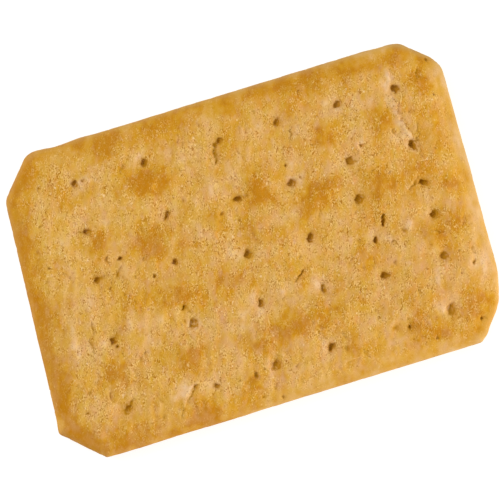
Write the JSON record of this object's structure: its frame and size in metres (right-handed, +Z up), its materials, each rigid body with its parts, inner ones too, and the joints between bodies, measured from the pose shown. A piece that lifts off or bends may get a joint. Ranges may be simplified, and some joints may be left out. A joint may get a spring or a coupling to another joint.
{
  "type": "graham cracker",
  "caption": "Thin rectangular baked cracker with clipped corners, a rounded edge, a blistered top face with rows of docking holes and a flat underside.",
  "frame": {"origin": "under the middle of the cracker's box, on the plane of the flat underside", "axes": "+X along the long side, +Y across the width, +Z up out of the docked face"},
  "size_m": [0.0746, 0.0494, 0.0056],
  "materials": {
    "crust": "dry, matt, grainy baked crust, golden tan with browner blisters"
  },
  "bodies": {
    "root": {"cracker": "crust"}
  },
  "joints": []
}
